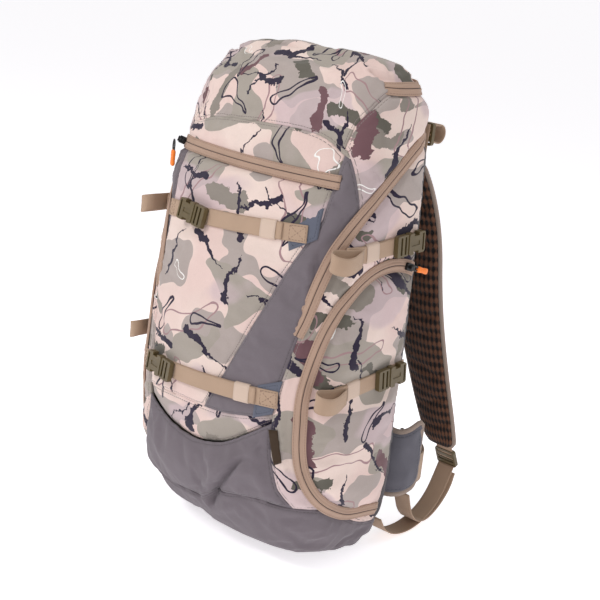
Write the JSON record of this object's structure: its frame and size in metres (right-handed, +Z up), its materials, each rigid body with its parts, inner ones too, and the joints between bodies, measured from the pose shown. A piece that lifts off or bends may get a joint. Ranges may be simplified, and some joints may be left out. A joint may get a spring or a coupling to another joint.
{
  "type": "hunting backpack",
  "caption": "Tall clamshell hunting backpack in camouflage cloth with front and side pockets, compression straps with buckles, frame sheet and a padded harness.",
  "frame": {"origin": "middle of the flat base, where the pack stands", "axes": "+Z up through the pack, -Z out of the base it stands on, +Y towards the wearer's back, +X to the right of somebody facing the front"},
  "size_m": [0.3236, 0.3582, 0.588],
  "materials": {
    "camo_cloth": "woven polyester, printed in camouflage",
    "grey_cloth": "woven polyester",
    "lining_cloth": "thin woven lining",
    "back_cloth": "padded woven panel",
    "wing_cloth": "padded woven wing",
    "spacer_mesh": "spacer mesh over foam",
    "webbing": "ribbed nylon webbing",
    "elastic": "elastic band",
    "zip_tape": "coil zip tape",
    "buckle_plastic": "moulded acetal",
    "slider_metal": "black enamel",
    "pull_rubber": "moulded grip on a cord",
    "frame_plastic": "polyethylene sheet",
    "stay_metal": "bar stock"
  },
  "bodies": {
    "pack": {"base_panel": "grey_cloth", "back_panel": "back_cloth", "side_panel_left": "camo_cloth", "side_panel_right": "camo_cloth", "front_wall_lower": "lining_cloth", "front_pocket_lower": "camo_cloth", "boot_pocket": "grey_cloth", "side_pocket_left": "camo_cloth", "side_pocket_right": "camo_cloth", "side_zip_tapes": "zip_tape", "main_zip_tape_lower": "zip_tape", "frame_sheet": "frame_plastic", "frame_stays": "stay_metal", "back_pads": "spacer_mesh", "side_straps": "webbing", "strap_sockets": "buckle_plastic", "front_strap_lower": "webbing", "strap_keepers": "elastic", "load_lifter_straps": "webbing", "load_lifter_locks": "buckle_plastic", "lower_webbing": "webbing"},
    "flap": {"front_wall_upper": "lining_cloth", "lid_shell": "camo_cloth", "lid_pocket_floor": "lining_cloth", "front_pocket_upper": "camo_cloth", "front_zip_tape": "zip_tape", "main_zip_tape_upper": "zip_tape", "lid_zip_tape": "zip_tape", "front_strap_upper": "webbing", "front_socket_upper": "buckle_plastic"},
    "shoulder_left": {"shoulder_strap_left": "spacer_mesh", "shoulder_lock_left": "buckle_plastic", "sternum_strap_left": "webbing", "sternum_socket": "buckle_plastic"},
    "shoulder_right": {"shoulder_strap_right": "spacer_mesh", "shoulder_lock_right": "buckle_plastic", "sternum_strap_right": "webbing"},
    "sternum_plug": {"sternum_plug": "buckle_plastic"},
    "hip_left": {"hip_wing_left": "wing_cloth", "hip_strap_left": "webbing", "hip_socket": "buckle_plastic"},
    "hip_right": {"hip_wing_right": "wing_cloth", "hip_strap_right": "webbing", "hip_plug": "buckle_plastic"},
    "haul_loop": {"haul_loop": "webbing"},
    "front_slider": {"front_slider": "slider_metal"},
    "front_pull": {"front_pull": "pull_rubber"},
    "side_slider_left": {"side_slider_left": "slider_metal"},
    "side_slider_right": {"side_slider_right": "slider_metal"},
    "side_pull_left": {"side_pull_left": "pull_rubber"},
    "side_pull_right": {"side_pull_right": "pull_rubber"},
    "main_slider_left": {"main_slider_left": "slider_metal"},
    "main_slider_right": {"main_slider_right": "slider_metal"},
    "lid_slider": {"lid_slider": "slider_metal"},
    "front_plug_upper": {"front_plug_upper": "buckle_plastic"},
    "front_plug_lower": {"front_plug_lower": "buckle_plastic"},
    "side_plug_upper_left": {"side_plug_upper_left": "buckle_plastic"},
    "side_plug_upper_right": {"side_plug_upper_right": "buckle_plastic"},
    "side_plug_lower_left": {"side_plug_lower_left": "buckle_plastic"},
    "side_plug_lower_right": {"side_plug_lower_right": "buckle_plastic"}
  },
  "joints": [
    {"name": "flap_hinge", "type": "hinge", "parent": "pack", "child": "flap", "pos_m": [0, -0.117, 0.293], "axis": [1, 0, 0], "range_deg": [0, 95]},
    {"name": "front_zip", "type": "hinge", "parent": "flap", "child": "front_slider", "pos_m": [0, 0.31583, 0], "axis": [0, 0, 1], "range_deg": [0, 36]},
    {"name": "front_pull_swing", "type": "hinge", "parent": "front_slider", "child": "front_pull", "pos_m": [-0.13079, -0.06804, 0.46703], "axis": [-0.9466, 0.3225, 0], "range_deg": [0, 110]},
    {"name": "side_zip_left", "type": "hinge", "parent": "pack", "child": "side_slider_left", "pos_m": [-0.14965, 0.015, 0.27], "axis": [1, 0, 0], "range_deg": [0, 65]},
    {"name": "side_pull_left_swing", "type": "hinge", "parent": "side_slider_left", "child": "side_pull_left", "pos_m": [-0.15485, 0.04088, 0.36659], "axis": [0, 0.2588, 0.9659], "range_deg": [0, 150]},
    {"name": "side_zip_right", "type": "hinge", "parent": "pack", "child": "side_slider_right", "pos_m": [0.14965, 0.015, 0.27], "axis": [1, 0, 0], "range_deg": [0, 65]},
    {"name": "side_pull_right_swing", "type": "hinge", "parent": "side_slider_right", "child": "side_pull_right", "pos_m": [0.15485, 0.04088, 0.36659], "axis": [0, -0.2588, -0.9659], "range_deg": [0, 150]},
    {"name": "main_zip_left", "type": "slide", "parent": "pack", "child": "main_slider_left", "axis": [-1, 0, 0], "range_m": [0, 0.08]},
    {"name": "main_zip_right", "type": "slide", "parent": "pack", "child": "main_slider_right", "axis": [1, 0, 0], "range_m": [0, 0.08]},
    {"name": "lid_zip", "type": "slide", "parent": "flap", "child": "lid_slider", "axis": [-1, 0, 0], "range_m": [0, 0.17]},
    {"name": "front_buckle_upper", "type": "slide", "parent": "flap", "child": "front_plug_upper", "axis": [0.9869, -0.1447, -0.0718], "range_m": [0, 0.022]},
    {"name": "front_buckle_lower", "type": "slide", "parent": "pack", "child": "front_plug_lower", "axis": [0.9839, -0.169, -0.0583], "range_m": [0, 0.022]},
    {"name": "side_buckle_upper_left", "type": "slide", "parent": "pack", "child": "side_plug_upper_left", "axis": [0, -0.995, -0.0995], "range_m": [0, 0.022]},
    {"name": "side_buckle_upper_right", "type": "slide", "parent": "pack", "child": "side_plug_upper_right", "axis": [0, -0.995, -0.0995], "range_m": [0, 0.022]},
    {"name": "side_buckle_lower_left", "type": "slide", "parent": "pack", "child": "side_plug_lower_left", "axis": [0, -0.9923, -0.124], "range_m": [0, 0.022]},
    {"name": "side_buckle_lower_right", "type": "slide", "parent": "pack", "child": "side_plug_lower_right", "axis": [0, -0.9923, -0.124], "range_m": [0, 0.022]},
    {"name": "shoulder_right_swing", "type": "hinge", "parent": "pack", "child": "shoulder_right", "pos_m": [0.088, 0.08, 0.478], "axis": [1, 0, 0], "range_deg": [-2, 25]},
    {"name": "shoulder_left_swing", "type": "hinge", "parent": "pack", "child": "shoulder_left", "pos_m": [-0.088, 0.08, 0.478], "axis": [1, 0, 0], "range_deg": [-2, 25]},
    {"name": "sternum_buckle", "type": "slide", "parent": "shoulder_right", "child": "sternum_plug", "axis": [1, 0, 0], "range_m": [0, 0.022]},
    {"name": "hip_right_fold", "type": "hinge", "parent": "pack", "child": "hip_right", "pos_m": [0.098, 0.086, 0.115], "axis": [0, 0, 1], "range_deg": [-4, 30]},
    {"name": "hip_left_fold", "type": "hinge", "parent": "pack", "child": "hip_left", "pos_m": [-0.098, 0.086, 0.115], "axis": [0, 0, -1], "range_deg": [-4, 30]},
    {"name": "haul_loop_tip", "type": "hinge", "parent": "pack", "child": "haul_loop", "pos_m": [0, 0.0745, 0.4535], "axis": [-1, 0, 0], "range_deg": [0, 80]}
  ],
  "couplings": [
    {"joint": "shoulder_left_swing", "follows": "shoulder_right_swing", "ratio": 1}
  ]
}
